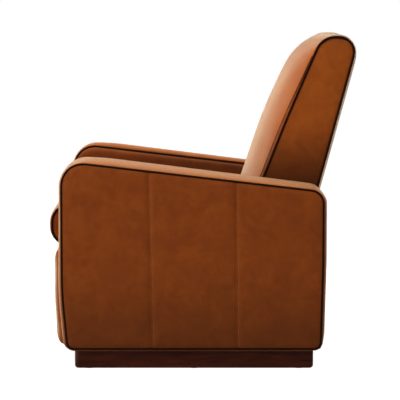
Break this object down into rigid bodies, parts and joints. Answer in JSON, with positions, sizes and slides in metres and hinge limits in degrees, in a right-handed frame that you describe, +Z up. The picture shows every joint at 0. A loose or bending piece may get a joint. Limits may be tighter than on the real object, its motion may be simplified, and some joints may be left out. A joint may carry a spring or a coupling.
{
  "type": "push-back recliner",
  "caption": "Leather recliner with padded arms on a wooden plinth; pushing the back down slides the seat forward and unfolds the footrest.",
  "frame": {"origin": "centre of the bounding box on the floor, upright and closed", "axes": "+Z up, the sitter faces -Y, +X is the sitter's left"},
  "size_m": [0.8, 0.9638, 1.02],
  "materials": {
    "leather": "satin, fine grain",
    "welt": "satin, dark piping",
    "frame_wood": "sawn, unfinished",
    "plinth_wood": "dark stain, satin lacquer",
    "steel": "black powder coat",
    "webbing": "woven, matte",
    "glide": "matte"
  },
  "bodies": {
    "base": {"arm_bottom_rail_left": "frame_wood", "arm_bottom_rail_right": "frame_wood", "arm_boxing_left": "leather", "arm_boxing_right": "leather", "arm_front_post_left": "frame_wood", "arm_front_post_right": "frame_wood", "arm_inner_panel_left": "leather", "arm_inner_panel_right": "leather", "arm_outer_panel_left": "leather", "arm_outer_panel_right": "leather", "arm_rear_post_left": "frame_wood", "arm_rear_post_right": "frame_wood", "arm_top_rail_left": "frame_wood", "arm_top_rail_right": "frame_wood", "arm_welts_left": "welt", "arm_welts_right": "welt", "base_rail_left": "steel", "base_rail_right": "steel", "plinth_side_left": "plinth_wood", "plinth_side_right": "plinth_wood", "plinth_front": "plinth_wood", "plinth_back": "plinth_wood", "plinth_corner_blocks": "frame_wood", "floor_glides": "glide", "front_stretcher": "frame_wood", "rear_stretcher": "frame_wood", "rear_panel": "leather", "rear_top_rail": "frame_wood"},
    "front_swing": {"front_swing_links": "steel"},
    "rear_swing": {"rear_swing_links": "steel"},
    "seat": {"seat_rail_left": "steel", "seat_rail_right": "steel", "seat_front_rail": "frame_wood", "seat_rear_rail": "frame_wood", "seat_webbing": "webbing", "seat_cushion": "leather", "seat_gussets": "leather", "seat_welts": "welt"},
    "back": {"back_bracket_left": "steel", "back_bracket_right": "steel", "back_post_left": "frame_wood", "back_post_right": "frame_wood", "back_side_panel_left": "leather", "back_side_panel_right": "leather", "back_top_rail": "frame_wood", "back_lower_rail": "frame_wood", "back_webbing": "webbing", "back_cushion": "leather", "back_welts": "welt"},
    "control": {"back_control_links": "steel"},
    "drive_rod": {"footrest_drive_rods": "steel"},
    "long_links": {"footrest_long_links": "steel", "footrest_cross_tube": "steel"},
    "cross_links": {"footrest_cross_links": "steel"},
    "short_links": {"footrest_short_links": "steel"},
    "footrest": {"footrest_brackets": "steel", "footrest_board": "frame_wood", "footrest_pad": "leather"}
  },
  "joints": [
    {"name": "front_swing_turn", "type": "hinge", "parent": "base", "child": "front_swing", "pos_m": [0, -0.24881, 0.21037], "axis": [-1, 0, 0], "range_deg": [-45, 0]},
    {"name": "seat_carry", "type": "hinge", "parent": "front_swing", "child": "seat", "pos_m": [0, -0.2, 0.32], "axis": [-1, 0, 0], "range_deg": [0, 45]},
    {"name": "rear_swing_turn", "type": "hinge", "parent": "base", "child": "rear_swing", "pos_m": [0, 0.01119, 0.21037], "axis": [-1, 0, 0], "range_deg": [-45, 0]},
    {"name": "back_recline", "type": "hinge", "parent": "seat", "child": "back", "pos_m": [0, 0.262, 0.368], "axis": [-1, 0, 0], "range_deg": [0, 30]},
    {"name": "control_swing", "type": "hinge", "parent": "base", "child": "control", "pos_m": [0, 0.20613, 0.09144], "axis": [-1, 0, 0], "range_deg": [-28.8, 0]},
    {"name": "rod_pivot", "type": "hinge", "parent": "back", "child": "drive_rod", "pos_m": [0, 0.2762, 0.30119], "axis": [-1, 0, 0], "range_deg": [-30.12, 0]},
    {"name": "footrest_unfold", "type": "hinge", "parent": "seat", "child": "long_links", "pos_m": [0, -0.352, 0.318], "axis": [-1, 0, 0], "range_deg": [0, 66]},
    {"name": "cross_turn", "type": "hinge", "parent": "long_links", "child": "cross_links", "pos_m": [0, -0.36602, 0.20385], "axis": [-1, 0, 0], "range_deg": [-132, 0]},
    {"name": "footrest_turn", "type": "hinge", "parent": "cross_links", "child": "footrest", "pos_m": [0, -0.38003, 0.318], "axis": [-1, 0, 0], "range_deg": [0, 132]},
    {"name": "short_turn", "type": "hinge", "parent": "long_links", "child": "short_links", "pos_m": [0, -0.38003, 0.0897], "axis": [-1, 0, 0], "range_deg": [-132, 0]}
  ],
  "couplings": [
    {"joint": "front_swing_turn", "follows": "back_recline", "ratio": -1.5},
    {"joint": "seat_carry", "follows": "back_recline", "ratio": 1.5},
    {"joint": "rear_swing_turn", "follows": "back_recline", "ratio": -1.5},
    {"joint": "control_swing", "follows": "back_recline", "ratio": -0.96},
    {"joint": "rod_pivot", "follows": "back_recline", "ratio": -1.004},
    {"joint": "footrest_unfold", "follows": "back_recline", "ratio": 2.2},
    {"joint": "cross_turn", "follows": "back_recline", "ratio": -4.4},
    {"joint": "footrest_turn", "follows": "back_recline", "ratio": 4.4},
    {"joint": "short_turn", "follows": "back_recline", "ratio": -4.4}
  ]
}
